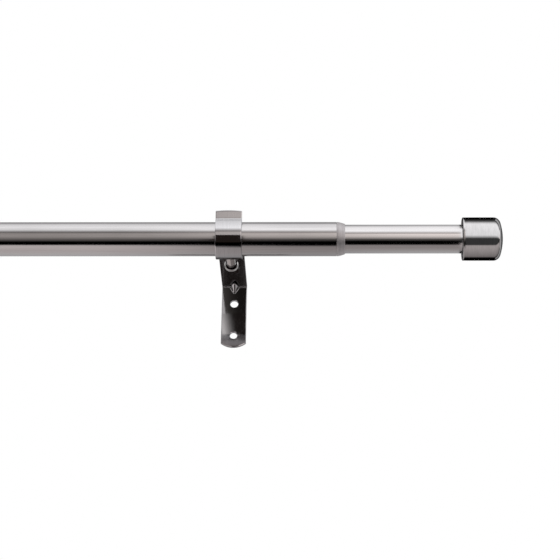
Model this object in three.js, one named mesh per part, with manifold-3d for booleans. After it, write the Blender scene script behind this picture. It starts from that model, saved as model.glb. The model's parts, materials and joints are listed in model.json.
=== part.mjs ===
// Telescoping curtain rod with round end caps, carried by two strap brackets that screw to a wall.
// Millimetres. +X runs along the rod towards the thin tube, +Y towards the wall, +Z up.
// The origin is on the wall face of the right-hand bracket, midway between its two screw holes.
import * as THREE from 'three';
import { mergeVertices } from 'three/addons/utils/BufferGeometryUtils.js';
import Module from 'manifold-3d';

const wasm = await Module();
wasm.setup();

// ---- Driving dimensions ----
const fitGap = 0.3; // between the faces of neighbouring pieces
const slideGap = 0.25; // radial, around a tube or a shank

const outerTubeDiameter = 19;
const innerTubeDiameter = 16;
const tubeWall = 0.5;
const outerTubeLength = 680;
const innerTubeLength = 620;
const innerTubeShown = 64.9; // from the collar to the right cap

const mouthReach = 59.8; // from the right bracket's middle to the thick tube's open end
const collarReach = 4.6; // of the collar beyond the thick tube's end
const collarTipDiameter = 17.2;
const collarTaper = 1.6; // power by which the lip narrows towards its tip
const collarSleeveLength = 12;

const glideFlangeLength = 4;
const glidePlugLength = 10;
const glidePlugWall = 1.2;

const capDiameter = 24;
const capLength = 22.4;
const capWall = 0.8;
const capShoulder = 4; // radius between the side and the domed end
const capDomeRadius = 30;
const capRimDiameter = 23.8; // the side swells from here to its full diameter
const capSwell = 4;
const tubeEngagement = 15; // how deep a tube sits in its cap
const insertEndWall = 1.6;
const insertRecess = 0.6; // from the cap's rim

const strapThickness = 1.5;
const strapWidth = 14.6;
const cupRadius = outerTubeDiameter / 2 + fitGap;
const axisToPlate = 66; // from the rod's axis to the front of the wall plate
const armRise = 3.6; // of the arm's underside above the rod's axis
const plateDrop = 35.4; // of the plate's lowest point below the rod's axis
const plateCornerRadius = 1; // inside the bend
const plateEndRadius = 11.5;
const lipLean = 14.6; // degrees past upright at the top of the cup's front
const lipRadius = 16; // of the cup's front above that, along the strap's middle
const lipLength = 4.75;
const tabLean = 10; // degrees outwards
const tabBendRadius = 2.5; // along the strap's middle
const tabLength = 4.65;
const tabEndRadius = 59;

const upperHole = { diameter: 4.7, drop: 7.6 }; // drop is below the rod's axis
const lowerHole = { diameter: 4.3, drop: 28 };
const gussetLeg = 4.4; // along the arm and along the plate
const gussetRadius = 2.5;
const dentRadius = 1.6;

const screwDiameter = 5;
const screwDrop = 1.35; // below the rod's axis
const screwHeadSeat = 26.7; // from the rod's axis to the head's inner face
const screwHeadDiameter = 8.1;
const screwHeadLength = 3;
const screwChamfer = 0.5;
const screwSlot = { width: 1.2, depth: 1.1 };
const bossDiameter = 6.8;
const bossStart = 10.5; // both from the rod's axis
const bossEnd = 14;

const roundSides = 48;
const tubeSides = 64;
const gussetSides = 24;
const outlineSegments = 12; // of the foot's and the tab's round ends
const taperSteps = 6;
const shoulderSteps = 6;
const domeSteps = 3;
const bendStep = THREE.MathUtils.degToRad(7.5);
const weldDistance = 1e-4; // corners closer than this are one corner
const cutMargin = 1; // by which a cutting body reaches past what it cuts

// ---- Places worked out from them ----
const holeMiddle = (upperHole.drop + lowerHole.drop) / 2;
const rodAxis = new THREE.Vector3(0, -(axisToPlate + strapThickness), holeMiddle);
const outerTubeLeft = mouthReach - outerTubeLength;
const collarEnd = mouthReach + collarReach;
const rightRim = collarEnd + innerTubeShown;
const innerTubeRight = rightRim + tubeEngagement;
const innerTubeLeft = innerTubeRight - innerTubeLength;
const leftRim = outerTubeLeft + tubeEngagement;
const leftBracketPlace = leftRim + rightRim; // as far from the left cap as the right one from its own

// ---- Finishes ----
const satinNickel = { color: 0xb4b0ae, roughness: 0.3, metalness: 1 };
const brightNickel = { color: 0xa8a29d, roughness: 0.18, metalness: 1 };
const greyPlastic = { color: 0x8c898a, roughness: 0.6, metalness: 0.1 };
const blackPlastic = { color: 0x2a2a2c, roughness: 0.55, metalness: 0 };
const zincPlate = { color: 0x9b958e, roughness: 0.3, metalness: 1 };

// ---- Solids ----
function closedGeometry(geometry) {
  geometry.deleteAttribute('normal');
  geometry.deleteAttribute('uv');
  const merged = mergeVertices(geometry, weldDistance);
  const corners = merged.index.array;
  const kept = [];
  for (let i = 0; i < corners.length; i += 3) {
    const [a, b, c] = corners.slice(i, i + 3);
    if (a !== b && b !== c && c !== a) kept.push(a, b, c);
  }
  merged.setIndex(kept);
  return merged;
}

function toSolid(geometry) {
  const closed = closedGeometry(geometry);
  return new wasm.Manifold(new wasm.Mesh({
    numProp: 3,
    vertProperties: new Float32Array(closed.attributes.position.array),
    triVerts: new Uint32Array(closed.index.array),
  }));
}

function toGeometry(solid) {
  const mesh = solid.getMesh();
  const geometry = new THREE.BufferGeometry();
  geometry.setAttribute('position', new THREE.BufferAttribute(new Float32Array(mesh.vertProperties), 3));
  geometry.setIndex(new THREE.BufferAttribute(new Uint32Array(mesh.triVerts), 1));
  return geometry;
}

function named(name, geometry, finish) {
  geometry.computeVertexNormals();
  const mesh = new THREE.Mesh(geometry, new THREE.MeshStandardMaterial(finish));
  mesh.name = name;
  return mesh;
}

// A turned piece about the X axis. The profile is a list of [x, radius], outside first, towards +X.
function turned(profile, sides) {
  const points = profile.map(([x, radius]) => new THREE.Vector2(radius, x));
  const geometry = new THREE.LatheGeometry(points, sides);
  geometry.rotateZ(-Math.PI / 2);
  return closedGeometry(geometry);
}

function tubeBetween(left, right, outerRadius, innerRadius, sides) {
  const profile = [[left, outerRadius], [right, outerRadius], [right, innerRadius], [left, innerRadius]];
  return turned([...profile, profile[0]], sides);
}

// An outline in the Y-Z plane, pulled out along X to both sides of X = 0.
function pulledAlongX(outline, width) {
  const geometry = new THREE.ExtrudeGeometry(outline, { depth: width, bevelEnabled: false });
  geometry.translate(0, 0, -width / 2);
  const toYZ = new THREE.Matrix4().makeBasis(
    new THREE.Vector3(0, 1, 0), new THREE.Vector3(0, 0, 1), new THREE.Vector3(1, 0, 0));
  geometry.applyMatrix4(toYZ);
  return toSolid(geometry);
}

function barAlongY(diameter, start, end, drop) {
  const geometry = new THREE.CylinderGeometry(diameter / 2, diameter / 2, end - start, roundSides);
  geometry.translate(0, (start + end) / 2, -drop);
  return toSolid(geometry);
}

// ---- Tubes, collar and glide, all about the rod's axis ----
function outerTube() {
  const radius = outerTubeDiameter / 2;
  const geometry = tubeBetween(outerTubeLeft, mouthReach, radius, radius - tubeWall, tubeSides);
  return named('outer_tube', geometry, satinNickel);
}

function innerTube() {
  const radius = innerTubeDiameter / 2;
  const geometry = tubeBetween(innerTubeLeft, innerTubeRight, radius, radius - tubeWall, tubeSides);
  return named('inner_tube', geometry, satinNickel);
}

// Trim ring in the thick tube's mouth: a thin sleeve inside and a tapered lip outside.
function endCollar() {
  const boreRadius = innerTubeDiameter / 2 + slideGap;
  const sleeveRadius = outerTubeDiameter / 2 - tubeWall - slideGap;
  const rimRadius = outerTubeDiameter / 2;
  const tipRadius = collarTipDiameter / 2;
  const lipStart = mouthReach + fitGap;
  const sleeveStart = mouthReach - collarSleeveLength;
  const lip = [];
  for (let i = 0; i <= taperSteps; i++) {
    const along = i / taperSteps;
    lip.push([
      THREE.MathUtils.lerp(lipStart, collarEnd, along),
      rimRadius - (rimRadius - tipRadius) * along ** collarTaper,
    ]);
  }
  const profile = [[sleeveStart, sleeveRadius], [lipStart, sleeveRadius], ...lip,
    [collarEnd, boreRadius], [sleeveStart, boreRadius]];
  return named('end_collar', turned([...profile, profile[0]], roundSides), greyPlastic);
}

// Plug in the thin tube's hidden end, whose flange keeps that end central in the thick tube.
function innerTubeGlide() {
  const flangeRadius = outerTubeDiameter / 2 - tubeWall - slideGap;
  const plugRadius = innerTubeDiameter / 2 - tubeWall - slideGap;
  const boreRadius = plugRadius - glidePlugWall;
  const flangeRight = innerTubeLeft - fitGap;
  const flangeLeft = flangeRight - glideFlangeLength;
  const plugRight = innerTubeLeft + glidePlugLength;
  const profile = [[flangeLeft, flangeRadius], [flangeRight, flangeRadius], [flangeRight, plugRadius],
    [plugRight, plugRadius], [plugRight, boreRadius], [flangeLeft, boreRadius]];
  return named('inner_tube_glide', turned([...profile, profile[0]], roundSides), blackPlastic);
}

// ---- Caps: drawn with the rim at X = 0 and the closed end towards +X ----
function arcPoints(centreX, centreRadius, radius, fromAngle, toAngle, steps) {
  const points = [];
  for (let i = 0; i <= steps; i++) {
    const angle = THREE.MathUtils.lerp(fromAngle, toAngle, i / steps);
    points.push([centreX + radius * Math.cos(angle), centreRadius + radius * Math.sin(angle)]);
  }
  return points;
}

// The shoulder and the domed end, from the side to the axis, of a cap that is inset by the given wall.
function capEnd(inset) {
  const shoulderCentre = capDiameter / 2 - capShoulder;
  const domeCentreX = capLength - capDomeRadius;
  const centreDistance = capDomeRadius - capShoulder;
  const meetAngle = Math.asin(shoulderCentre / centreDistance);
  const shoulderX = domeCentreX + centreDistance * Math.cos(meetAngle);
  return [
    ...arcPoints(shoulderX, shoulderCentre, capShoulder - inset, Math.PI / 2, meetAngle, shoulderSteps),
    ...arcPoints(domeCentreX, 0, capDomeRadius - inset, meetAngle, 0, domeSteps).slice(1),
  ];
}

function capShell(name) {
  const rimRadius = capRimDiameter / 2;
  const boreRadius = capDiameter / 2 - capWall;
  const outside = [[0, 0], [0, rimRadius], [capSwell, capDiameter / 2], ...capEnd(0)];
  const inside = [[-cutMargin, 0], [-cutMargin, boreRadius], ...capEnd(capWall)];
  const shell = toSolid(turned(outside, roundSides)).subtract(toSolid(turned(inside, roundSides)));
  return named(name, toGeometry(shell), satinNickel);
}

function capInsert(name, tubeDiameter) {
  const outer = capDiameter / 2 - capWall - fitGap;
  const bore = tubeDiameter / 2 + slideGap;
  const floor = tubeEngagement + fitGap;
  const end = floor + insertEndWall;
  const profile = [[insertRecess, bore], [insertRecess, outer], [end, outer], [end, 0], [floor, 0],
    [floor, bore], [insertRecess, bore]];
  return named(name, turned(profile, roundSides), blackPlastic);
}

function finial(side, tubeDiameter) {
  const group = new THREE.Group();
  group.add(capShell(`finial_cap_${side}`), capInsert(`finial_insert_${side}`, tubeDiameter));
  return group;
}

// ---- Bracket: one bent strap, drawn about the rod's axis ----
// A walk along the strap's middle, in the Y-Z plane, from the plate's foot to the tip of the front tab.
function strapWalk() {
  const half = strapThickness / 2;
  const cornerRadius = plateCornerRadius + half;
  const heelRadius = armRise + half;
  const cupMiddle = cupRadius + half;
  const plateMiddle = axisToPlate + half;
  const armMiddle = armRise + half;
  const heelCentre = cupRadius + strapThickness + armRise;
  const lipTurn = THREE.MathUtils.radToDeg(lipLength / lipRadius);
  return {
    start: [plateMiddle, -plateDrop],
    heading: 90,
    steps: [
      { line: plateDrop + armMiddle - cornerRadius },
      { turn: 90, radius: cornerRadius },
      { line: plateMiddle - cornerRadius - heelCentre },
      { turn: 90, radius: heelRadius },
      { turn: -(180 + lipLean), radius: cupMiddle },
      { turn: -lipTurn, radius: lipRadius },
      { turn: lipLean + lipTurn + tabLean, radius: tabBendRadius },
      { line: tabLength },
    ],
  };
}

function walkPoints({ start, heading, steps }) {
  let [y, z] = start;
  let angle = THREE.MathUtils.degToRad(heading);
  const points = [{ y, z, angle }];
  for (const step of steps) {
    if (step.line) {
      y += step.line * Math.cos(angle);
      z += step.line * Math.sin(angle);
      points.push({ y, z, angle });
      continue;
    }
    const sweep = THREE.MathUtils.degToRad(step.turn);
    const count = Math.ceil(Math.abs(sweep) / bendStep);
    const chord = 2 * step.radius * Math.sin(Math.abs(sweep) / count / 2);
    for (let i = 0; i < count; i++) {
      const middle = angle + sweep / count / 2;
      y += chord * Math.cos(middle);
      z += chord * Math.sin(middle);
      angle += sweep / count;
      points.push({ y, z, angle });
    }
  }
  return points;
}

function strapOutline(points) {
  const beside = (side) => ({ y, z, angle }) => new THREE.Vector2(
    y - side * Math.sin(angle) * strapThickness / 2,
    z + side * Math.cos(angle) * strapThickness / 2);
  return new THREE.Shape([...points.map(beside(1)), ...points.map(beside(-1)).reverse()]);
}

// Seen from the front: straight sides, a round foot and a slightly round tab end.
function frontOutline(topZ) {
  const halfWidth = strapWidth / 2;
  const footCentre = plateEndRadius - plateDrop;
  const footAngle = Math.acos(halfWidth / plateEndRadius);
  const topCentre = topZ - tabEndRadius;
  const topAngle = Math.acos(halfWidth / tabEndRadius);
  const outline = new THREE.Shape();
  outline.absarc(0, footCentre, plateEndRadius, -Math.PI + footAngle, -footAngle, false);
  outline.absarc(0, topCentre, tabEndRadius, topAngle, Math.PI - topAngle, false);
  outline.closePath();
  const reach = 2 * axisToPlate;
  const options = { depth: 2 * reach, bevelEnabled: false, curveSegments: outlineSegments };
  const geometry = new THREE.ExtrudeGeometry(outline, options);
  geometry.rotateX(Math.PI / 2);
  geometry.translate(0, reach, 0);
  return toSolid(geometry);
}

// A bar across the plate's corner at 45 degrees. The depth is measured from the line that joins the feet
// of the gusset, square to it, towards the outside of the corner.
function cornerBar(radius, depth) {
  const geometry = new THREE.CylinderGeometry(radius, radius, 4 * gussetLeg, gussetSides);
  geometry.rotateX(Math.PI / 4 + Math.PI / 2);
  const half = gussetLeg / 2;
  const inwards = (depth + radius) * Math.SQRT1_2;
  geometry.translate(0, axisToPlate - half + inwards, armRise - half + inwards);
  return toSolid(geometry);
}

// Only what is behind the plate's front and above the arm's underside belongs to the strap's corner.
function gussetRidge() {
  const outline = new THREE.Shape([
    new THREE.Vector2(axisToPlate - gussetLeg, armRise - gussetLeg),
    new THREE.Vector2(axisToPlate + strapThickness / 2, armRise - gussetLeg),
    new THREE.Vector2(axisToPlate + strapThickness / 2, armRise + strapThickness / 2),
    new THREE.Vector2(axisToPlate - gussetLeg, armRise + strapThickness / 2),
  ]);
  return cornerBar(gussetRadius, 0).intersect(pulledAlongX(outline, strapWidth));
}

function gussetDent() {
  return cornerBar(dentRadius, strapThickness);
}

function bracket(name) {
  const points = walkPoints(strapWalk());
  const tabTop = points.at(-1).z;
  const throughPlate = [axisToPlate - cutMargin, axisToPlate + strapThickness + cutMargin];
  const hole = ({ diameter, drop }) => barAlongY(diameter, ...throughPlate, drop);
  const boss = barAlongY(bossDiameter, bossStart, bossEnd, screwDrop);
  const throughBoss = [cupRadius - 2 * cutMargin, bossEnd + cutMargin];
  const bore = barAlongY(screwDiameter + 2 * slideGap, ...throughBoss, screwDrop);
  const solid = pulledAlongX(strapOutline(points), strapWidth)
    .intersect(frontOutline(tabTop))
    .add(boss)
    .subtract(bore)
    .add(gussetRidge())
    .subtract(gussetDent())
    .subtract(hole(upperHole))
    .subtract(hole(lowerHole));
  return named(name, toGeometry(solid), brightNickel);
}

// Clamp screw: its tip faces the rod, its slotted head faces the wall.
function clampScrew(name) {
  const tip = cupRadius;
  const end = screwHeadSeat + screwHeadLength;
  const shank = screwDiameter / 2;
  const head = screwHeadDiameter / 2;
  const profile = [[0, tip], [shank - screwChamfer, tip], [shank, tip + screwChamfer], [shank, screwHeadSeat],
    [head - screwChamfer / 2, screwHeadSeat], [head, screwHeadSeat + screwChamfer / 2],
    [head, end - screwChamfer], [head - screwChamfer, end], [0, end]];
  const body = new THREE.LatheGeometry(profile.map(([r, y]) => new THREE.Vector2(r, y)), roundSides);
  const slotLength = screwHeadDiameter + 2 * cutMargin;
  const slot = new THREE.BoxGeometry(slotLength, screwSlot.depth * 2, screwSlot.width);
  slot.translate(0, end, 0);
  const geometry = toGeometry(toSolid(body).subtract(toSolid(slot)));
  geometry.translate(0, 0, -screwDrop);
  return named(name, geometry, zincPlate);
}

// ---- Assembly ----
function bracketSet(side, x) {
  const group = new THREE.Group();
  group.add(bracket(`bracket_${side}`), clampScrew(`clamp_screw_${side}`));
  group.position.x = x;
  return group;
}

const rod = new THREE.Group();
const rightFinial = finial('right', innerTubeDiameter);
rightFinial.position.x = rightRim;
const leftFinial = finial('left', outerTubeDiameter);
leftFinial.position.x = leftRim;
leftFinial.rotation.z = Math.PI;
rod.add(outerTube(), innerTube(), endCollar(), innerTubeGlide(), rightFinial, leftFinial);

const curtainRod = new THREE.Group();
curtainRod.add(rod, bracketSet('right', 0), bracketSet('left', leftBracketPlace));
curtainRod.children.forEach((child) => child.position.add(rodAxis));

export default curtainRod;
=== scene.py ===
import json
import math

import bmesh
import bpy
from mathutils import Matrix, Vector

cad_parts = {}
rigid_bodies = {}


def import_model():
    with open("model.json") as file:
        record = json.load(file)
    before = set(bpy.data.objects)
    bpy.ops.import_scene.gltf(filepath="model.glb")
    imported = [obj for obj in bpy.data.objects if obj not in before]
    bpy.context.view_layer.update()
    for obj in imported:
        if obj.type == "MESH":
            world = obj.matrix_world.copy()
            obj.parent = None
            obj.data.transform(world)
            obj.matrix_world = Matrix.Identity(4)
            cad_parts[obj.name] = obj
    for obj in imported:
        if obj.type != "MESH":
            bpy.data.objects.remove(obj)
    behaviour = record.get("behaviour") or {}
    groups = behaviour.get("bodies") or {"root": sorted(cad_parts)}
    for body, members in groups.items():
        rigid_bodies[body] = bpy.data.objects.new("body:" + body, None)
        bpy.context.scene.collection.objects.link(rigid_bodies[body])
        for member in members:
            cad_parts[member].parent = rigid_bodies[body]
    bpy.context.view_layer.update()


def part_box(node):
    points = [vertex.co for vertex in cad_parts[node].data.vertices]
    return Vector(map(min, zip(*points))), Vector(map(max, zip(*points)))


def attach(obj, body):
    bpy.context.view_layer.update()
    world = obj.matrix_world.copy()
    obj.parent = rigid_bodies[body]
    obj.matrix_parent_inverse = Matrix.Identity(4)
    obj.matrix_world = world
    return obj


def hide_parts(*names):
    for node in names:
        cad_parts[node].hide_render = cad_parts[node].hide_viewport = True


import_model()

# ---- Units and places, from the frame ----
MM = 0.001
TUBE_LO, TUBE_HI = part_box("outer_tube")
THIN_LO, THIN_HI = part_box("inner_tube")
COLLAR_LO, COLLAR_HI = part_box("end_collar")
GLIDE_LO, GLIDE_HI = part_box("inner_tube_glide")
PLATE_LO, PLATE_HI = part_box("bracket_right")
AXIS = Vector((0, (TUBE_LO[1] + TUBE_HI[1]) / 2, (TUBE_LO[2] + TUBE_HI[2]) / 2))
THICK_RADIUS = (TUBE_HI[2] - TUBE_LO[2]) / 2
THIN_RADIUS = (THIN_HI[2] - THIN_LO[2]) / 2

# ---- The rod's details ----
TUBE_WALL = 0.5 * MM
TUBE_LIP = 0.12 * MM  # rounding of a cut tube end
SHOW_GAP = 0.06 * MM  # between pieces that touch on the real object
COLLAR_TIP_RADIUS = 8.5 * MM
COLLAR_TAPER = 1.5  # power by which the lip narrows towards its tip
COLLAR_ROUNDING = 0.25 * MM
GLIDE_PLAY = 0.15 * MM  # around its flange, in the thick tube
GLIDE_WALL = 1.2 * MM
CAP_WALL = 0.8 * MM
CAP_SHOULDER = 4 * MM
CAP_DOME_RADIUS = 30 * MM
CAP_RIM_DROP = 0.06 * MM
CAP_SWELL = 4 * MM
CAP_RIM_ROUNDING = 0.25 * MM
CAP_MOUTH_BEVEL = 0.1 * MM
INSERT_RIBS = 12
RIB_HEIGHT = 0.22 * MM
RIB_SHARPNESS = 6
RIB_SINK = 0.1 * MM  # of the surface between the ribs
RIB_ZONE = 0.35 * MM  # of radius, around the insert's outside, that the ribs shape
INSERT_PLAY = 0.15 * MM
ROUND_SIDES = 160

# ---- The bracket's strap, about the rod's axis ----
STRAP_WIDTH = PLATE_HI[0] - PLATE_LO[0]
STRAP_THICKNESS = 1.5 * MM
STRAP_EDGE = 0.16 * MM
AXIS_TO_PLATE = PLATE_HI[1] - STRAP_THICKNESS - AXIS.y
CUP_RADIUS = THICK_RADIUS + 0.3 * MM
ARM_RISE = 3.6 * MM
PLATE_DROP = AXIS.z - PLATE_LO[2]
CORNER_RADIUS = 0.7 * MM
FOOT_RADIUS = 11.5 * MM
LIP_LEAN = 14.6  # degrees past upright at the top of the cup's front
LIP_LENGTH = 4.75 * MM
LIP_RADIUS = 16 * MM
TAB_LEAN = 10  # degrees outwards
TAB_BEND = 2.5 * MM
TAB_LENGTH = 4.65 * MM
TAB_END_RADIUS = 59 * MM
HOLES = ((4.7 * MM, 7.6 * MM), (4.3 * MM, 28 * MM))  # diameter, drop below the rod's axis
HOLE_FLARE = 0.08 * MM
GUSSET_LEG = 4.4 * MM
GUSSET_SLOPE = 1.32  # of its two flanks
GUSSET_ROUNDING = 0.8 * MM  # along its ridge
GUSSET_BLEND = 0.4 * MM
GUSSET_REACH = 7 * MM  # of the pressing, along the strap from the crease
FOOT_BLEND = 9 * MM  # of strap that the round foot's bow fades over
TAB_BLEND = 3 * MM
BEND_RUB = 1 * MM  # how far from the plate's inside corner the plating is rubbed
FINE_STEP = 0.22 * MM  # between the strap's sections near the plate's corner
COARSE_STEP = 0.9 * MM  # and elsewhere
FINE_REACH = 7.5 * MM
LARGEST_TURN = math.radians(5)  # between two sections
TINY = 1e-9

# ---- The clamp screw, about the rod's axis ----
SCREW_LO, SCREW_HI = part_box("clamp_screw_right")
SCREW_DROP = AXIS.z - (SCREW_LO[2] + SCREW_HI[2]) / 2
SCREW_TIP = SCREW_LO[1] - AXIS.y
SCREW_END = SCREW_HI[1] - AXIS.y
HEAD_RADIUS = (SCREW_HI[2] - SCREW_LO[2]) / 2
HEAD_LENGTH = 3 * MM
SHANK_RADIUS = 2.5 * MM
THREAD_PITCH = 0.8 * MM
THREAD_DEPTH = 0.3 * MM
KNURLS = 36
KNURL_DEPTH = 0.16 * MM
SLOT_WIDTH = 1.2 * MM
SLOT_DEPTH = 1.1 * MM
SCREW_SIDES = 144
THREAD_ROWS = 8  # of points along one turn of the thread
THREAD_RUN_IN = 6  # rows over which the thread starts
THREAD_RUN_OUT = 8
NECK_DROP = 0.12 * MM  # of the neck below the thread's crests
BORE_PLAY = 0.08 * MM
BOSS_RADIUS = 3.4 * MM
BOSS_END = 14 * MM
BOSS_ROOT = CUP_RADIUS + 0.7 * MM  # inside the strap's thickness

# ---- Camera ----
CAMERA_ELEVATION = math.radians(-27)  # it looks up at the rod
CAMERA_YAW = math.radians(1.5)
CAMERA_DISTANCE = 1.0
CAMERA_LENS = 115.7
CAMERA_X = 54.5 * MM
CAMERA_BELOW_ROD = 22.7 * MM  # of the view's middle, at the rod
FLOOR_Z = -0.62
FLOOR_SIZE = 40


# ---- Mesh helpers ----
def skin(name, rings, close_ends=None, sharp=35):
    """A mesh over rings of points. A ring of one point is a pole.
    close_ends is "loop" for a body that closes on itself, or "strip" for flat ends of mirrored rings."""
    bm = bmesh.new()
    made = [[bm.verts.new(p) for p in ring] for ring in rings]
    pairs = list(zip(made, made[1:]))
    if close_ends == "loop":
        pairs.append((made[-1], made[0]))
    for first, second in pairs:
        count = max(len(first), len(second))
        for i in range(count):
            j = (i + 1) % count
            corners = []
            for vert in (first[i % len(first)], first[j % len(first)],
                         second[j % len(second)], second[i % len(second)]):
                if vert not in corners:
                    corners.append(vert)
            bm.faces.new(corners)
    if close_ends == "strip":
        for ring in (made[0], made[-1]):
            last = len(ring) - 1
            for i in range(len(ring) // 2 - 1):
                bm.faces.new((ring[i], ring[i + 1], ring[last - i - 1], ring[last - i]))
    bmesh.ops.recalc_face_normals(bm, faces=bm.faces)
    mesh = bpy.data.meshes.new(name)
    bm.to_mesh(mesh)
    bm.free()
    smooth(mesh, sharp)
    return mesh


def smooth(mesh, sharp):
    mesh.shade_smooth()
    mesh.set_sharp_from_angle(angle=math.radians(sharp))


def fillet(corners, steps=5):
    """A closed outline through corners of (along, radius, rounding), with each corner rounded."""
    points = []
    count = len(corners)
    for i, (x, r, rounding) in enumerate(corners):
        here = Vector((x, r))
        before = Vector(corners[i - 1][:2]) - here
        after = Vector(corners[(i + 1) % count][:2]) - here
        if rounding == 0:
            points.append(here)
            continue
        before.normalize()
        after.normalize()
        half = before.angle(after) / 2
        setback = rounding / math.tan(half)
        start = here + before * setback
        end = here + after * setback
        centre = here + (before + after).normalized() * (rounding / math.sin(half))
        # One extra row outside each rounding keeps the flat faces flat when shaded.
        points.append(start + before * rounding)
        for k in range(steps + 1):
            spoke = (start - centre).lerp(end - centre, k / steps).normalized()
            points.append(centre + spoke * rounding)
        points.append(end + after * rounding)
    return [(p.x, p.y) for p in points]


def circle(radius, sides, wave):
    """Pairs of distances from the middle, around a ring. A ring without a radius is a single point."""
    if radius == 0:
        return [(0, 0)]
    pairs = []
    for i in range(sides):
        angle = math.tau * i / sides
        reach = radius + (wave(angle) if wave else 0)
        pairs.append((reach * math.cos(angle), reach * math.sin(angle)))
    return pairs


def ring_about_x(x, radius, sides, wave=None):
    return [Vector((x, y, z)) for y, z in circle(radius, sides, wave)]


def ring_about_y(y, radius, sides, wave=None, z=0.0):
    return [Vector((x, y, z + up)) for x, up in circle(radius, sides, wave)]


def turned(name, outline, loop=True, sides=ROUND_SIDES, wave=None):
    """A piece turned about the rod's axis from (along, radius) points."""
    rings = [ring_about_x(x, r, sides, wave(x, r) if wave else None) for x, r in outline]
    return skin(name, rings, close_ends="loop" if loop else None)


def combine(mesh, tool_mesh, operation, sharp=35):
    """The mesh with a tool cut out of it or joined to it."""
    scene = bpy.context.scene.collection.objects
    body = bpy.data.objects.new("body", mesh)
    tool = bpy.data.objects.new("tool", tool_mesh)
    scene.link(body)
    scene.link(tool)
    boolean = body.modifiers.new("boolean", "BOOLEAN")
    boolean.operation = operation
    boolean.solver = "EXACT"
    boolean.object = tool
    bpy.context.view_layer.update()
    depsgraph = bpy.context.evaluated_depsgraph_get()
    result = bpy.data.meshes.new_from_object(body.evaluated_get(depsgraph))
    for obj in (body, tool):
        bpy.data.objects.remove(obj)
    smooth(result, sharp)
    return result


def place(name, mesh, material, body, node, x=0.0):
    """Moves a mesh drawn about the rod's axis to its place and makes it stand for one CAD node."""
    mesh.transform(Matrix.Translation(AXIS + Vector((x, 0, 0))))
    piece = bpy.data.objects.new(name, mesh)
    bpy.context.scene.collection.objects.link(piece)
    mesh.materials.clear()
    mesh.materials.append(material)
    bpy.context.view_layer.update()
    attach(piece, body)
    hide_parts(node)


# ---- Node trees ----
class NodeTree:
    """A node tree with short ways to add, join and mix."""

    def __init__(self, tree):
        self.tree = tree

    def add(self, kind, **settings):
        node = self.tree.nodes.new(kind)
        for key, value in settings.items():
            setattr(node, key, value)
        return node

    def join(self, source, target):
        self.tree.links.new(source, target)

    def blend(self, share, first, second):
        """A colour between two, each of them another node's output or plain red, green and blue."""
        node = self.add("ShaderNodeMix", data_type="RGBA")
        # A colour mix keeps its factor, two colours and result at these places among its sockets.
        for index, value in ((0, share), (6, first), (7, second)):
            if isinstance(value, tuple):
                node.inputs[index].default_value = (*value, 1)
            else:
                self.join(value, node.inputs[index])
        return node.outputs[2]


# ---- Materials ----
class Nodes(NodeTree):
    """A material with its shader and short ways to vary it from place to place."""

    def __init__(self, name):
        self.material = bpy.data.materials.new(name)
        self.material.use_nodes = True
        super().__init__(self.material.node_tree)
        self.shader = self.tree.nodes["Principled BSDF"]
        self.place = self.add("ShaderNodeTexCoord").outputs["Object"]

    def scaled(self, scale):
        mapping = self.add("ShaderNodeMapping")
        mapping.inputs["Scale"].default_value = scale
        self.join(self.place, mapping.inputs["Vector"])
        return mapping.outputs["Vector"]

    def noise(self, scale, detail=3.0, roughness=0.55):
        """Noise with its own scale along X, Y and Z, per metre."""
        node = self.add("ShaderNodeTexNoise")
        node.inputs["Scale"].default_value = 1
        node.inputs["Detail"].default_value = detail
        node.inputs["Roughness"].default_value = roughness
        self.join(self.scaled(scale), node.inputs["Vector"])
        return node.outputs["Fac"]

    def spread(self, source, low, high, from_low=0.3, from_high=0.7):
        node = self.add("ShaderNodeMapRange")
        node.inputs["From Min"].default_value = from_low
        node.inputs["From Max"].default_value = from_high
        node.inputs["To Min"].default_value = low
        node.inputs["To Max"].default_value = high
        self.join(source, node.inputs["Value"])
        return node.outputs["Result"]

    def maths(self, operation, first, second):
        node = self.add("ShaderNodeMath", operation=operation)
        for socket, value in zip(node.inputs, (first, second)):
            if isinstance(value, (int, float)):
                socket.default_value = value
            else:
                self.join(value, socket)
        return node.outputs["Value"]

    def distance_from_line(self, line):
        """From a line along X that passes through (y, z)."""
        flat = self.add("ShaderNodeVectorMath", operation="MULTIPLY")
        flat.inputs[1].default_value = (0, 1, 1)
        self.join(self.place, flat.inputs[0])
        distance = self.add("ShaderNodeVectorMath", operation="DISTANCE")
        distance.inputs[1].default_value = (0, *line)
        self.join(flat.outputs["Vector"], distance.inputs[0])
        return distance.outputs["Value"]

    def bump(self, source, strength, distance):
        node = self.add("ShaderNodeBump")
        node.inputs["Strength"].default_value = strength
        node.inputs["Distance"].default_value = distance
        self.join(source, node.inputs["Height"])
        self.join(node.outputs["Normal"], self.shader.inputs["Normal"])


TUBE_GRAIN = (18, 2200, 2200)  # noise along X, Y and Z, per metre
CAP_GRAIN = (1800, 220, 220)
STRAP_GRAIN = (2500, 120, 120)
SCREW_GRAIN = (900, 900, 900)
SMUDGE_GRAIN = (26, 60, 60)
BRUSH_DEPTH = 0.01 * MM
COLLAR_GRAIN_DEPTH = 0.03 * MM
MOULD_GRAIN_DEPTH = 0.04 * MM
BEND_ROUGHNESS = 0.4


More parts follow.
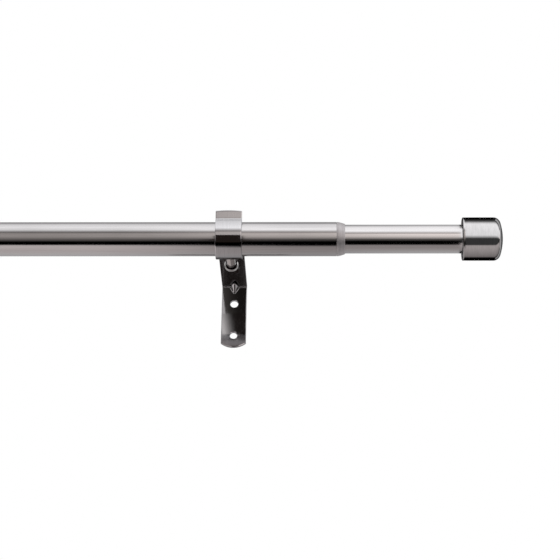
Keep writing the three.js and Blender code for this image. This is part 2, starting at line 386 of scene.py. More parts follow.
def brushed_nickel(name, dark, light, roughness, grain, streak_strength=0.12, edge_tint=0.8, bend=None):
    """Plated steel. grain is the streaks' scale along X, Y and Z: large across the brushing.
    edge_tint darkens the metal where it's seen edge on. bend is a line along X that is rubbed dull."""
    nodes = Nodes(name)
    shader = nodes.shader
    shader.inputs["Metallic"].default_value = 1
    shader.inputs["Specular Tint"].default_value = (edge_tint, edge_tint, edge_tint, 1)
    streaks = nodes.noise(grain, detail=4)
    fine = nodes.noise(tuple(3 * g for g in grain), detail=2)
    smudges = nodes.noise(SMUDGE_GRAIN, detail=3)
    tone = nodes.maths("ADD", nodes.spread(streaks, 0, 0.6), nodes.spread(smudges, 0, 0.4))
    nodes.join(nodes.blend(tone, dark, light), shader.inputs["Base Color"])
    low, high = roughness
    worn = nodes.maths("ADD", nodes.spread(streaks, low, high), nodes.spread(smudges, -0.02, 0.03))
    if bend:
        away = nodes.distance_from_line(bend)
        rubbed = nodes.spread(away, BEND_ROUGHNESS, 0, BEND_RUB / 2, BEND_RUB)
        worn = nodes.maths("ADD", worn, rubbed)
    nodes.join(worn, shader.inputs["Roughness"])
    height = nodes.maths("ADD", streaks, nodes.maths("MULTIPLY", fine, 0.5))
    nodes.bump(height, streak_strength, BRUSH_DEPTH)
    return nodes.material


def matte_collar(name):
    nodes = Nodes(name)
    shader = nodes.shader
    shader.inputs["Metallic"].default_value = 0.75
    rings = nodes.noise((2600, 60, 60), detail=3)
    mottle = nodes.noise((900, 900, 900), detail=4)
    tone = nodes.maths("MULTIPLY", nodes.spread(rings, 0, 1), nodes.spread(mottle, 0.4, 1))
    nodes.join(nodes.blend(tone, (0.43, 0.418, 0.422), (0.58, 0.565, 0.57)), shader.inputs["Base Color"])
    nodes.join(nodes.spread(mottle, 0.38, 0.48), shader.inputs["Roughness"])
    nodes.bump(nodes.maths("ADD", rings, mottle), 0.25, COLLAR_GRAIN_DEPTH)
    return nodes.material


def moulded_plastic(name):
    nodes = Nodes(name)
    shader = nodes.shader
    grain = nodes.noise((2200, 2200, 2200), detail=4)
    flow = nodes.noise((120, 420, 420), detail=2)
    nodes.join(nodes.blend(flow, (0.022, 0.022, 0.024), (0.05, 0.05, 0.054)), shader.inputs["Base Color"])
    nodes.join(nodes.spread(grain, 0.42, 0.6), shader.inputs["Roughness"])
    nodes.bump(grain, 0.3, MOULD_GRAIN_DEPTH)
    return nodes.material


def floor_material(name):
    nodes = Nodes(name)
    nodes.shader.inputs["Base Color"].default_value = (0.86, 0.86, 0.86, 1)
    nodes.shader.inputs["Roughness"].default_value = 0.9
    return nodes.material


# ---- Rod ----
def tube_outline(left, right, radius):
    inner = radius - TUBE_WALL
    return fillet([(left, radius, TUBE_LIP), (right, radius, TUBE_LIP),
                   (right, inner, TUBE_LIP), (left, inner, TUBE_LIP)])


def collar_outline():
    """Sleeve inside the thick tube, then the tapered lip outside it."""
    lip_start = TUBE_HI[0] + SHOW_GAP
    taper_start = lip_start + COLLAR_ROUNDING
    taper_end = COLLAR_HI[0] - COLLAR_ROUNDING
    sleeve = THICK_RADIUS - TUBE_WALL - SHOW_GAP
    bore = THIN_RADIUS + 2 * SHOW_GAP
    tip = COLLAR_TIP_RADIUS
    lip = []
    steps = 8
    for i in range(steps + 1):
        share = i / steps
        x = taper_start + (taper_end - taper_start) * share
        lip.append((x, THICK_RADIUS - (THICK_RADIUS - tip) * share ** COLLAR_TAPER))
    nose = [(COLLAR_HI[0] - COLLAR_ROUNDING * (1 - math.sin(a)), tip - COLLAR_ROUNDING * (1 - math.cos(a)))
            for a in (math.radians(d) for d in (30, 60, 90))]
    return [(COLLAR_LO[0], sleeve), (lip_start, sleeve), (lip_start, THICK_RADIUS - 0.15 * MM),
            (lip_start + 0.06 * MM, THICK_RADIUS - 0.04 * MM), *lip, *nose,
            (COLLAR_HI[0], bore), (COLLAR_LO[0], bore)]


def glide_outline():
    flange = THICK_RADIUS - TUBE_WALL - GLIDE_PLAY
    plug = THIN_RADIUS - TUBE_WALL - SHOW_GAP
    bore = plug - GLIDE_WALL
    flange_end = THIN_LO[0] - SHOW_GAP
    return fillet([(GLIDE_LO[0], flange, 0.4 * MM), (flange_end, flange, 0.2 * MM),
                   (flange_end, plug, 0), (GLIDE_HI[0], plug, 0.3 * MM),
                   (GLIDE_HI[0], bore, 0.2 * MM), (GLIDE_LO[0], bore, 0.2 * MM)])


# ---- Caps, with the rim at 0 and the closed end towards +X ----
def arc(centre_x, centre_r, radius, start, end, steps):
    for i in range(steps + 1):
        angle = start + (end - start) * i / steps
        yield centre_x + radius * math.cos(angle), max(0.0, centre_r + radius * math.sin(angle))


def cap_end(length, radius, inset, steps):
    """Shoulder and dome, from the side to the axis."""
    shoulder = radius - CAP_SHOULDER
    dome_x = length - CAP_DOME_RADIUS
    reach = CAP_DOME_RADIUS - CAP_SHOULDER
    meet = math.asin(shoulder / reach)
    shoulder_x = dome_x + reach * math.cos(meet)
    points = list(arc(shoulder_x, shoulder, CAP_SHOULDER - inset, math.pi / 2, meet, steps))
    points += list(arc(dome_x, 0, CAP_DOME_RADIUS - inset, meet, 0, steps))[1:-1]
    return points + [(length - inset, 0)]


def cap_outline(length, radius):
    rim = radius - CAP_RIM_DROP
    rounding = CAP_RIM_ROUNDING
    edge = [(rounding * (1 - math.sin(a)), rim - rounding * (1 - math.cos(a)))
            for a in (math.radians(d) for d in (90, 67, 45, 22, 0))]
    swell = []
    steps = 6
    for i in range(1, steps + 1):
        share = i / steps
        x = rounding + (CAP_SWELL - rounding) * share
        swell.append((x, radius - CAP_RIM_DROP * (1 - share) ** 2))
    outside = edge + swell + cap_end(length, radius, 0, 14)
    bore = radius - CAP_WALL
    bevel = CAP_MOUTH_BEVEL
    inside = [(0, rim - rounding - bevel), (0, bore + bevel), (bevel, bore), (6 * bevel, bore)]
    return inside[::-1], outside, cap_end(length, radius, CAP_WALL, 6)


def cap_mesh(name, length, radius, facing):
    mouth, outside, inner_end = cap_outline(length, radius)
    outline = inner_end[::-1] + mouth + outside
    return turned(name, [(facing * x, r) for x, r in outline], loop=False)


def insert_mesh(name, start, length, radius, bore, depth, facing):
    """A plastic socket: crush ribs outside, a floor at its deep end."""
    def ribs(x, r):
        if abs(r - radius) > RIB_ZONE:
            return None
        return lambda angle: (RIB_HEIGHT * max(0.0, math.cos(INSERT_RIBS * angle)) ** RIB_SHARPNESS
                              - RIB_SINK)

    end = start + length
    floor = start + depth
    wall = radius - INSERT_PLAY
    outline = [(floor, 0), (floor, bore - 0.3 * MM), (floor - 0.09 * MM, bore - 0.09 * MM),
               (floor - 0.3 * MM, bore), (start + 0.3 * MM, bore), (start, bore + 0.3 * MM),
               (start, wall - 0.4 * MM), (start + 0.4 * MM, wall), (end - 0.5 * MM, wall),
               (end, wall - 0.5 * MM), (end, 0)]
    return turned(name, [(facing * x, r) for x, r in outline], loop=False, wave=ribs)


# ---- Bracket ----
def strap_walk():
    """Steps along the strap's middle, from the plate's foot to the tip of the front tab."""
    half = STRAP_THICKNESS / 2
    corner = CORNER_RADIUS + half
    heel = ARM_RISE + half
    plate_y = AXIS_TO_PLATE + half
    arm_z = ARM_RISE + half
    heel_y = CUP_RADIUS + STRAP_THICKNESS + ARM_RISE
    lines = (PLATE_DROP + arm_z - corner, plate_y - corner - heel_y)
    lip_turn = math.degrees(LIP_LENGTH / LIP_RADIUS)
    steps = [("line", lines[0]), ("turn", 90, corner), ("line", lines[1]), ("turn", 90, heel),
             ("turn", -(180 + LIP_LEAN), CUP_RADIUS + half), ("turn", -lip_turn, LIP_RADIUS),
             ("turn", LIP_LEAN + lip_turn + TAB_LEAN, TAB_BEND), ("line", TAB_LENGTH)]
    return Vector((0, plate_y, -PLATE_DROP)), steps, lines[0] + math.radians(45) * corner


def strap_sections(crease_at):
    """Evenly walked sections: (distance, point, heading), closer together at the plate's corner."""
    start, steps, _ = strap_walk()
    point = start.copy()
    heading = math.radians(90)
    distance = 0.0
    sections = [(distance, point.copy(), heading)]
    for step in steps:
        length = step[1] if step[0] == "line" else abs(math.radians(step[1])) * step[2]
        sweep = 0.0 if step[0] == "line" else math.radians(step[1])
        done = 0.0
        while done < length - TINY:
            spacing = FINE_STEP if abs(distance - crease_at) < FINE_REACH else COARSE_STEP
            if sweep:
                spacing = min(spacing, step[2] * LARGEST_TURN)
            move = min(spacing, length - done)
            if length - done - move < spacing * 0.4:
                move = length - done
            turn = sweep * move / length
            middle = heading + turn / 2
            point += move * Vector((0, math.cos(middle), math.sin(middle)))
            heading += turn
            done += move
            distance += move
            sections.append((distance, point.copy(), heading))
    return sections


def strap_ring(half_width, half_thickness, edge, samples=40, edge_steps=4):
    """Upper half from edge to edge, then its mirror image below: (across, out) points."""
    flat = half_width - edge
    upper = []
    for k in range(edge_steps + 1):
        angle = math.pi - math.pi / 2 * k / edge_steps
        upper.append((-flat + edge * math.cos(angle), half_thickness - edge + edge * math.sin(angle)))
    for k in range(1, samples):
        upper.append((-flat + 2 * flat * k / samples, half_thickness))
    for k in range(edge_steps + 1):
        angle = math.pi / 2 - math.pi / 2 * k / edge_steps
        upper.append((flat + edge * math.cos(angle), half_thickness - edge + edge * math.sin(angle)))
    return upper + [(x, -n) for x, n in reversed(upper)]


def lowest(a, b, blend):
    """The smaller of two numbers, with a rounded change from one to the other."""
    near = max(blend - abs(a - b), 0) / blend
    return min(a, b) - near * near * blend / 4


def press_gusset(point, out):
    """Moves a point of the strap's corner onto the pressed gusset: a ridge inside, a dent outside."""
    diagonal = (point.y + point.z) / math.sqrt(2)
    crest = (AXIS_TO_PLATE + ARM_RISE - GUSSET_LEG) / math.sqrt(2)
    bottom = crest if out > 0 else crest + STRAP_THICKNESS
    limit = bottom + GUSSET_SLOPE * (math.hypot(point.x, GUSSET_ROUNDING) - GUSSET_ROUNDING)
    shift = lowest(diagonal, limit, GUSSET_BLEND) - diagonal
    return point + Vector((0, shift, shift)) / math.sqrt(2)


def strap_mesh(name):
    """The bent strap with rounded edges and ends, and the pressed gusset in the plate's corner."""
    _, _, crease_at = strap_walk()
    sections = strap_sections(crease_at)
    total = sections[-1][0]
    half_width = STRAP_WIDTH / 2
    half_thickness = STRAP_THICKNESS / 2

    def bow(radius, x):
        return radius - math.sqrt(radius * radius - x * x)

    def ring(distance, point, heading, inset=0.0):
        along = Vector((0, math.cos(heading), math.sin(heading)))
        out = Vector((0, -math.sin(heading), math.cos(heading)))
        foot = max(0.0, 1 - distance / FOOT_BLEND)
        tab = max(0.0, 1 - (total - distance) / TAB_BLEND)
        made = []
        for x, n in strap_ring(half_width - inset, half_thickness - inset, STRAP_EDGE):
            slide = foot * bow(FOOT_RADIUS, x) - tab * bow(TAB_END_RADIUS, x)
            corner = point + Vector((x, 0, 0)) + n * out + slide * along
            near_crease = abs(distance - crease_at) < GUSSET_REACH
            made.append(press_gusset(corner, n) if near_crease else corner)
        return made

    def rounded_end(end, sign):
        distance, point, heading = end
        along = sign * Vector((0, math.cos(heading), math.sin(heading)))
        made = []
        for degrees in (0, 25, 50, 75):
            angle = math.radians(degrees)
            back = STRAP_EDGE * (1 - math.cos(angle))
            inset = STRAP_EDGE * 0.9 * (1 - math.sin(angle))
            made.append(ring(distance + sign * back, point + back * along, heading, inset))
        return made

    middle = [ring(*s) for s in sections if STRAP_EDGE <= s[0] <= total - STRAP_EDGE]
    rings = rounded_end(sections[0], 1) + middle + rounded_end(sections[-1], -1)[::-1]
    return skin(name, rings, close_ends="strip")


def about_y(name, outline, z):
    """A piece turned about a line along Y at height z, from (radius, along) points that end on the line."""
    return skin(name, [ring_about_y(y, r, 64, z=z) for r, y in outline])


def hole_tool(diameter, drop):
    """A cutter that flares at both faces of the plate, which leaves the hole with rounded edges."""
    r = diameter / 2
    front = AXIS_TO_PLATE
    back = AXIS_TO_PLATE + STRAP_THICKNESS
    wide = r + HOLE_FLARE
    partway = r + HOLE_FLARE * 0.3
    rise = HOLE_FLARE * 0.35
    outline = [(0, front - MM), (wide + MM, front - MM), (wide, front), (partway, front + rise),
               (r, front + HOLE_FLARE), (r, back - HOLE_FLARE), (partway, back - rise), (wide, back),
               (wide + MM, back + MM), (0, back + MM)]
    return about_y("hole_tool", outline, -drop)


def boss_outline():
    """Collar of metal behind the cup, with a fillet at its root and a rounded mouth."""
    start = BOSS_ROOT
    end = BOSS_END
    r = BOSS_RADIUS
    return [(0, start), (r + 0.1 * MM, start), (r + 0.5 * MM, start + 0.7 * MM),
            (r + 0.15 * MM, start + 1.2 * MM), (r, start + 1.7 * MM), (r, end - 0.3 * MM),
            (r - 0.1 * MM, end - 0.1 * MM), (r - 0.3 * MM, end), (0, end)]


def bore_outline():
    """The screw's hole through the cup and the boss, with a countersunk mouth."""
    inside = CUP_RADIUS - 2 * MM
    r = SHANK_RADIUS + BORE_PLAY
    return [(0, inside), (r, inside), (r, BOSS_END - 0.3 * MM), (r + 0.3 * MM, BOSS_END),
            (r + 0.9 * MM, BOSS_END + 0.6 * MM), (0, BOSS_END + 0.6 * MM)]


def bracket_mesh(name):
    mesh = strap_mesh(name)
    mesh = combine(mesh, about_y("boss", boss_outline(), -SCREW_DROP), "UNION")
    mesh = combine(mesh, about_y("bore", bore_outline(), -SCREW_DROP), "DIFFERENCE")
    for diameter, drop in HOLES:
        mesh = combine(mesh, hole_tool(diameter, drop), "DIFFERENCE")
    mesh.name = name
    return mesh


# ---- Clamp screw ----
def thread_wave(y, fade):
    def wave(angle):
        turn = (angle / math.tau - y / THREAD_PITCH) % 1
        return -THREAD_DEPTH * fade * abs(2 * turn - 1)
    return wave


def knurl_wave(fade):
    return lambda angle: -KNURL_DEPTH * fade * (0.5 + 0.5 * math.cos(KNURLS * angle))


def shank_outline(seat):
    """(along, radius, wave) from the tip over the thread to the head's inner face."""
    thread_start = SCREW_TIP + 0.55 * MM
    thread_end = seat - 1.4 * MM
    neck = SHANK_RADIUS - NECK_DROP
    outline = [(SCREW_TIP, 0, None), (SCREW_TIP, SHANK_RADIUS - 0.75 * MM, None)]
    rows = int((thread_end - thread_start) / (THREAD_PITCH / THREAD_ROWS))
    for i in range(rows + 1):
        y = thread_start + (thread_end - thread_start) * i / rows
        fade = min(1.0, i / THREAD_RUN_IN, (rows - i) / THREAD_RUN_OUT)
        outline.append((y, neck if fade < 1 else SHANK_RADIUS, thread_wave(y, fade)))
    return outline + [(seat - 0.35 * MM, neck, None), (seat - 0.1 * MM, neck + 0.1 * MM, None),
                      (seat, neck + 0.35 * MM, None)]


def head_outline(seat):
    """(along, radius, wave) over the head. Its knurls fade out at both rounded edges."""
    # Millimetres along from a face, millimetres in from the head's side, and the knurls' share.
    inner_edge = ((0, 0.75, 0), (0.05, 0.6, 0), (0.3, 0.25, 0), (0.55, 0.02, 0.3), (0.75, 0, 1))
    outer_edge = ((-0.75, 0, 1), (-0.5, 0.04, 0.3), (-0.2, 0.3, 0), (0, 0.75, 0))
    outline = []
    for face, edge in ((seat, inner_edge), (SCREW_END, outer_edge)):
        for along, inset, share in edge:
            outline.append((face + along * MM, HEAD_RADIUS - inset * MM, knurl_wave(share)))
    return outline + [(SCREW_END, 0, None)]


def slot_tool():
    half = SLOT_WIDTH / 2
    reach = HEAD_RADIUS + MM
    corners = ((reach, -half), (reach, half), (-reach, half), (-reach, -half))
    rows = [[Vector((x, y, up - SCREW_DROP)) for x, up in corners]
            for y in (SCREW_END - SLOT_DEPTH, SCREW_END + MM)]
    return skin("slot", rows, close_ends="strip")


def clamp_screw_mesh(name):
    """Threaded shank with its tip at the rod, and a knurled, slotted head."""
    seat = SCREW_END - HEAD_LENGTH
    outline = shank_outline(seat) + head_outline(seat)
    rings = [ring_about_y(y, r, SCREW_SIDES, wave, -SCREW_DROP) for y, r, wave in outline]
    mesh = combine(skin(name, rings, sharp=50), slot_tool(), "DIFFERENCE", sharp=50)
    mesh.name = name
    return mesh


# ---- Studio ----
COOL = (1.0, 0.985, 1.0)
WARM = (1.0, 0.91, 0.88)
ROSE = (1.0, 0.9, 0.895)
BROWN = (1.0, 0.62, 0.4)
LIGHT_STRENGTH = 1.6

# The studio's lights and flags, by the angle they stand at around the rod: 0 is level with the rod on the
# room's side, 90 is overhead, 180 is the wall's side and -90 is below. Each row gives the brightness from
# the left, from straight across and from the right, and the light fades evenly from row to row.
LIGHT_AROUND = (
    (-180, 0.6, 0.4, 0.6, COOL),
    (-110, 0.6, 0.35, 0.35, ROSE),   # light floor below the rod
    (-80, 0.7, 0.3, 0.3, ROSE),
    (-70, 0.6, 0, 0, ROSE),          # black flag below the rod, on the room's side
    (-65, 0, 0, 0, BROWN),
    (-45, 0, 0, 0, BROWN),
    (-30, 0.15, 0.1, 0.1, WARM),     # dim room
    (-10, 0.4, 0.6, 0.8, WARM),      # low soft light in front, brighter on the right
    (10, 0.4, 0.7, 1.2, WARM),
    (20, 0.15, 0.35, 0.5, WARM),     # gap between the two lights
    (40, 1, 1.4, 1.3, COOL),         # large soft light from overhead
    (60, 1.2, 1.2, 1.3, COOL),
    (90, 1, 1, 1.1, COOL),
    (100, 0.6, 0.5, 0.7, COOL),      # dim wall behind
    (140, 0.3, 0.4, 0.45, COOL),
    (180, 0.6, 0.4, 0.6, COOL),
)
# The same for the tent around the right cap, by the angle of a place about the rod's axis.
CAP_LIGHT = (
    (-180, 0, COOL),
    (-135, 0, COOL),
    (-125, 0.25, ROSE),              # low fill light
    (-70, 0.5, ROSE),
    (-60, 0.5, ROSE),
    (-55, 0.05, COOL),               # black flag
    (-25, 0.05, COOL),
    (-10, 1.1, COOL),                # large soft light in front
    (50, 1.25, COOL),
    (70, 0.1, COOL),
    (90, 0, COOL),
    (180, 0, COOL),
)
TENT_RADIUS = 50 * MM
TENT_START = 1.8 * MM  # past the cap's rim
FRONT_TENT_LENGTH = 118.2 * MM
BACK_TENT_LENGTH = 27.2 * MM
LEFT_TO_ACROSS = (-0.13, -0.03)  # sideways parts of a direction, between which the light changes over
ACROSS_TO_RIGHT = (-0.01, 0.05)


class Lighting(NodeTree):
    """An empty node tree with short ways to set out light by its angle around the rod."""

    def __init__(self, tree):
        super().__init__(tree)
        self.tree.nodes.clear()

    def turn(self, direction):
        """The angle around the rod of a direction or a place about the rod's axis, as 0 to 1."""
        axes = self.add("ShaderNodeSeparateXYZ")
        self.join(direction, axes.inputs["Vector"])
        to_room = self.add("ShaderNodeMath", operation="MULTIPLY")
        to_room.inputs[1].default_value = -1
        self.join(axes.outputs["Y"], to_room.inputs[0])
        angle = self.add("ShaderNodeMath", operation="ARCTAN2")
        self.join(axes.outputs["Z"], angle.inputs[0])
        self.join(to_room.outputs["Value"], angle.inputs[1])
        return self.ranged(angle.outputs["Value"], -math.pi, math.pi)

    def ranged(self, source, low, high, interpolation="LINEAR"):
        node = self.add("ShaderNodeMapRange", interpolation_type=interpolation)
        node.inputs["From Min"].default_value = low
        node.inputs["From Max"].default_value = high
        self.join(source, node.inputs["Value"])
        return node.outputs["Result"]

    def ramp(self, turn, rows, column):
        """The colours of one column of a table of lights, by angle. Its last column is the tint."""
        node = self.add("ShaderNodeValToRGB")
        self.join(turn, node.inputs["Fac"])
        elements = node.color_ramp.elements
        elements.remove(elements[-1])
        for i, row in enumerate(rows):
            position = (row[0] + 180) / 360
            element = elements.new(position) if i else elements[0]
            element.position = position
            element.color = (*(row[column] / LIGHT_STRENGTH * part for part in row[-1]), 1)
        return node.outputs["Color"]


def studio_world():
    """White for the camera, and soft bands of light and dark for everything that mirrors them."""
    world = bpy.data.worlds.new("studio")
    bpy.context.scene.world = world
    world.use_nodes = True
    shading = Lighting(world.node_tree)
    direction = shading.add("ShaderNodeTexCoord").outputs["Generated"]
    turn = shading.turn(direction)
    axes = shading.add("ShaderNodeSeparateXYZ")
    shading.join(direction, axes.inputs["Vector"])
    left, across, right = (shading.ramp(turn, LIGHT_AROUND, column) for column in (1, 2, 3))
    to_across = shading.ranged(axes.outputs["X"], *LEFT_TO_ACROSS, "SMOOTHSTEP")
    to_right = shading.ranged(axes.outputs["X"], *ACROSS_TO_RIGHT, "SMOOTHSTEP")
    light = shading.blend(to_right, shading.blend(to_across, left, across), right)
    studio = shading.add("ShaderNodeBackground")
    studio.inputs["Strength"].default_value = LIGHT_STRENGTH
    shading.join(light, studio.inputs["Color"])
    backdrop = shading.add("ShaderNodeBackground")
    backdrop.inputs["Color"].default_value = (1, 1, 1, 1)
    mix = shading.add("ShaderNodeMixShader")
    shading.join(shading.add("ShaderNodeLightPath").outputs["Is Camera Ray"], mix.inputs["Fac"])
    shading.join(studio.outputs["Background"], mix.inputs[1])
    shading.join(backdrop.outputs["Background"], mix.inputs[2])
    shading.join(mix.outputs["Shader"], shading.add("ShaderNodeOutputWorld").inputs["Surface"])


def studio_floor():
    bm = bmesh.new()
    bmesh.ops.create_grid(bm, x_segments=8, y_segments=8, size=FLOOR_SIZE / 2)
    mesh = bpy.data.meshes.new("studio_floor")
    bm.to_mesh(mesh)
    bm.free()
    mesh.materials.append(floor_material("pale_floor"))
    floor = bpy.data.objects.new("studio_floor", mesh)
    bpy.context.scene.collection.objects.link(floor)
    floor.location = (0, 0, FLOOR_Z)
    floor.visible_glossy = False


def studio_card(name, rows, shade, one_sided=True):
    """A card that the metal mirrors, though no camera sees it. rows are pairs of its corners, and shade
    gives its light. A one-sided card lets rays through from behind."""
    mesh = bpy.data.meshes.new(name)
    corners = [corner for row in rows for corner in row]
    faces = [(i, i + 1, i + 3, i + 2) for i in range(0, len(corners) - 2, 2)]
    mesh.from_pydata(corners, [], faces)
    material = bpy.data.materials.new(name)
    material.use_nodes = True
    shading = Lighting(material.node_tree)
    glow = shading.add("ShaderNodeEmission")
    shade(shading, glow)
    surface = glow.outputs["Emission"]
    if one_sided:
        mix = shading.add("ShaderNodeMixShader")
        shading.join(shading.add("ShaderNodeNewGeometry").outputs["Backfacing"], mix.inputs["Fac"])
        shading.join(surface, mix.inputs[1])
        shading.join(shading.add("ShaderNodeBsdfTransparent").outputs["BSDF"], mix.inputs[2])
        surface = mix.outputs["Shader"]
    shading.join(surface, shading.add("ShaderNodeOutputMaterial").inputs["Surface"])
    mesh.materials.append(material)
    card = bpy.data.objects.new(name, mesh)
    bpy.context.scene.collection.objects.link(card)
    card.visible_camera = False
    card.visible_diffuse = False
    card.visible_shadow = False
    card.visible_transmission = False


def upright(centre, half_width, half_height):
    """Rows of an upright card about a place given from the rod's axis. Its front faces the wall."""
    middle = AXIS + Vector(centre)
    return [[middle + Vector((side * half_width, 0, up * half_height)) for side in (1, -1)]
            for up in (-1, 1)]


def lying(centre, half_width, half_length):
    """Rows of a level card about a place given from the rod's axis. Its front faces down."""
    middle = AXIS + Vector(centre)
    return [[middle + Vector((side * half_width, along * half_length, 0)) for side in (1, -1)]
            for along in (-1, 1)]


def around_rod(x_range, radius, degrees, steps=48):
    """Rows of a card bent around the rod, whose front faces the rod."""
    rows = []
    for i in range(steps + 1):
        angle = math.radians(degrees[0] + (degrees[1] - degrees[0]) * i / steps)
        spoke = Vector((0, -radius * math.cos(angle), radius * math.sin(angle)))
        rows.append([AXIS + spoke + Vector((x, 0, 0)) for x in reversed(x_range)])
    return rows


def plain(light):
    def shade(shading, glow):
        glow.inputs["Color"].default_value = (*light, 1)
    return shade


def fading(bright, dark, dark_end, width, slant=0):
    """A card that is bright on its left and fades to dark on its right, at a place given from the rod's
    axis. The slant turns the fade, in degrees."""
    def shade(shading, glow):
        mapping = shading.add("ShaderNodeMapping", vector_type="TEXTURE")
        mapping.inputs["Location"].default_value = AXIS + Vector(dark_end)
        mapping.inputs["Rotation"].default_value = (0, math.radians(slant), 0)
        mapping.inputs["Scale"].default_value = (-width, 1, 1)
        shading.join(shading.add("ShaderNodeTexCoord").outputs["Object"], mapping.inputs["Vector"])
        fade = shading.add("ShaderNodeTexGradient", gradient_type="QUADRATIC")
        shading.join(mapping.outputs["Vector"], fade.inputs["Vector"])
        shading.join(shading.blend(fade.outputs["Fac"], dark, bright), glow.inputs["Color"])
    return shade


def tent(rows):
    """Lights around the rod, from a table by angle."""
    def shade(shading, glow):
        centred = shading.add("ShaderNodeVectorMath", operation="SUBTRACT")
        centred.inputs[1].default_value = AXIS
        shading.join(shading.add("ShaderNodeTexCoord").outputs["Object"], centred.inputs[0])
        shading.join(shading.ramp(shading.turn(centred.outputs["Vector"]), rows, 1), glow.inputs["Color"])
        glow.inputs["Strength"].default_value = LIGHT_STRENGTH
    return shade


def strap_cards():
    """Cards around the right bracket that its strap mirrors."""
    x = (PLATE_LO[0] + PLATE_HI[0]) / 2
    half = STRAP_WIDTH / 2
    dim = plain((0.018, 0.013, 0.011))
    black = plain((0, 0, 0))
    plate_fade = fading(bright=(0.72, 0.69, 0.68), dark=(0.014, 0.011, 0.01),
                        dark_end=(x - 0.5 * MM, 31 * MM, -4 * MM), width=8 * MM, slant=-11)
    arm_fade = fading(bright=(0.06, 0.055, 0.05), dark=(0.012, 0.01, 0.009),
                      dark_end=(x + 4 * MM, 0, 0), width=11 * MM)
    strap_flag = upright((x - 1.5 * MM, -37.5 * MM, -20.6 * MM), half_width=half + MM, half_height=15.6 * MM)
    low_flag = upright((x - 18 * MM, -235 * MM, -154 * MM), half_width=half + 3 * MM, half_height=39 * MM)
    wall_flag = upright((x - 12 * MM, 218 * MM, -80 * MM), half_width=40 * MM, half_height=18 * MM)
    cup_flag = upright((x, 14.5 * MM, 0), half_width=half, half_height=3.6 * MM)
    head_flag = upright((x, 25.6 * MM, -1.5 * MM), half_width=4.4 * MM, half_height=4.6 * MM)
    plate_flag = upright((x - 0.3 * MM, 31 * MM, -3.8 * MM), half_width=9.3 * MM, half_height=7 * MM)
    arm_flag = lying((x, 47 * MM, ARM_RISE - 0.15 * MM), half_width=half, half_length=18 * MM)
    studio_card("strap_flag", strap_flag, dim, one_sided=False)
    studio_card("low_flag", low_flag, dim, one_sided=False)
    studio_card("wall_flag", wall_flag, dim, one_sided=False)
    studio_card("cup_flag", cup_flag, black)
    studio_card("head_flag", head_flag, black)
    studio_card("plate_flag", plate_flag, plate_fade)
    studio_card("arm_flag", arm_flag, arm_fade)


def cap_tent():
    """A tent of light and dark around the right cap, longer in front than behind."""
    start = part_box("finial_cap_right")[0][0] + TENT_START
    light = tent(CAP_LIGHT)
    front = around_rod((start, start + FRONT_TENT_LENGTH), TENT_RADIUS, (-140, 80))
    back = around_rod((start, start + BACK_TENT_LENGTH), TENT_RADIUS, (80, 220))
    studio_card("cap_front_tent", front, light)
    studio_card("cap_back_tent", back, light)


def studio_camera():
    """Nearly across from the thick tube's open end, and below the rod, looking up at it."""
    up_angle = -CAMERA_ELEVATION
    level = Vector((0, math.cos(up_angle), math.sin(up_angle)))
    up = Vector((0, -math.sin(up_angle), math.cos(up_angle)))
    along = Vector((1, 0, 0))
    forward = level * math.cos(CAMERA_YAW) - along * math.sin(CAMERA_YAW)
    right = along * math.cos(CAMERA_YAW) + level * math.sin(CAMERA_YAW)
    data = bpy.data.cameras.new("camera")
    data.lens = CAMERA_LENS
    camera = bpy.data.objects.new("camera", data)
    bpy.context.scene.collection.objects.link(camera)
    target = AXIS + Vector((CAMERA_X, 0, 0)) - up * CAMERA_BELOW_ROD
    columns = (right, up, -forward)
    camera.matrix_world = Matrix([[column[i] for column in columns] for i in range(3)]).to_4x4()
    camera.location = target - level * CAMERA_DISTANCE
    bpy.context.scene.camera = camera


# ---- Assembly ----
bpy.context.scene.view_settings.view_transform = "Standard"
studio_camera()
studio_world()
studio_floor()
strap_cards()
cap_tent()

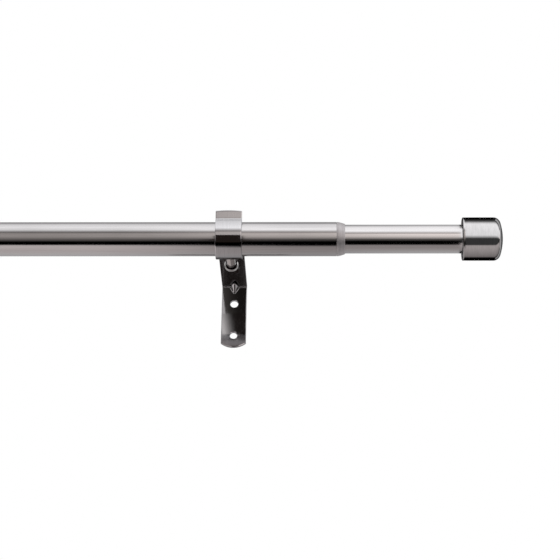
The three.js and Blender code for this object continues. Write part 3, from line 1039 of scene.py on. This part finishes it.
thick_nickel = brushed_nickel("thick_nickel", dark=(0.56, 0.555, 0.555), light=(0.68, 0.675, 0.675),
                              roughness=(0.1, 0.13), grain=TUBE_GRAIN)
thin_nickel = brushed_nickel("thin_nickel", dark=(0.62, 0.615, 0.615), light=(0.74, 0.735, 0.735),
                             roughness=(0.1, 0.13), grain=TUBE_GRAIN)
cap_nickel = brushed_nickel("cap_nickel", dark=(0.54, 0.54, 0.54), light=(0.7, 0.7, 0.7),
                            roughness=(0.07, 0.1), grain=CAP_GRAIN, streak_strength=0.3, edge_tint=0.1)
strap_nickel = brushed_nickel("strap_nickel", dark=(0.545, 0.545, 0.555), light=(0.645, 0.645, 0.655),
                              roughness=(0.06, 0.1), grain=STRAP_GRAIN, edge_tint=0.1,
                              bend=(AXIS.y + AXIS_TO_PLATE, AXIS.z + ARM_RISE))
screw_nickel = brushed_nickel("screw_nickel", dark=(0.42, 0.41, 0.4), light=(0.6, 0.59, 0.58),
                              roughness=(0.14, 0.2), grain=SCREW_GRAIN)
collar_grey = matte_collar("collar_grey")
black_plastic = moulded_plastic("insert_plastic")

place("thick_tube", turned("thick_tube", tube_outline(TUBE_LO[0], TUBE_HI[0], THICK_RADIUS)),
      thick_nickel, "rod_outer", "outer_tube")
place("thin_tube", turned("thin_tube", tube_outline(THIN_LO[0], THIN_HI[0], THIN_RADIUS)),
      thin_nickel, "rod_inner", "inner_tube")
place("trim_collar", turned("trim_collar", collar_outline()),
      collar_grey, "rod_outer", "end_collar")
place("tube_glide", turned("tube_glide", glide_outline()),
      black_plastic, "rod_inner", "inner_tube_glide")

for side, facing, tube_end, tube_radius in (("right", 1, THIN_HI[0], THIN_RADIUS),
                                            ("left", -1, TUBE_LO[0], THICK_RADIUS)):
    lo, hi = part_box(f"finial_cap_{side}")
    rim = lo[0] if facing > 0 else hi[0]
    radius = (hi[2] - lo[2]) / 2
    cap = cap_mesh(f"end_cap_{side}", hi[0] - lo[0], radius, facing)
    place(f"end_cap_{side}", cap, cap_nickel, f"finial_{side}", f"finial_cap_{side}", rim)
    lo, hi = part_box(f"finial_insert_{side}")
    start = abs((lo[0] if facing > 0 else hi[0]) - rim)
    depth = abs(tube_end - rim) - start + SHOW_GAP
    insert = insert_mesh(f"cap_insert_{side}", start, hi[0] - lo[0], radius - CAP_WALL,
                         tube_radius + SHOW_GAP, depth, facing)
    place(f"cap_insert_{side}", insert, black_plastic, f"finial_{side}", f"finial_insert_{side}",
          rim)

bracket = bracket_mesh("strap_bracket")
clamp_screw = clamp_screw_mesh("clamp_screw")
for side in ("right", "left"):
    lo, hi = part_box(f"bracket_{side}")
    x = (lo[0] + hi[0]) / 2
    place(f"strap_bracket_{side}", bracket.copy(), strap_nickel,
          f"bracket_{side}", f"bracket_{side}", x)
    place(f"set_screw_{side}", clamp_screw.copy(), screw_nickel,
          f"screw_{side}", f"clamp_screw_{side}", x)
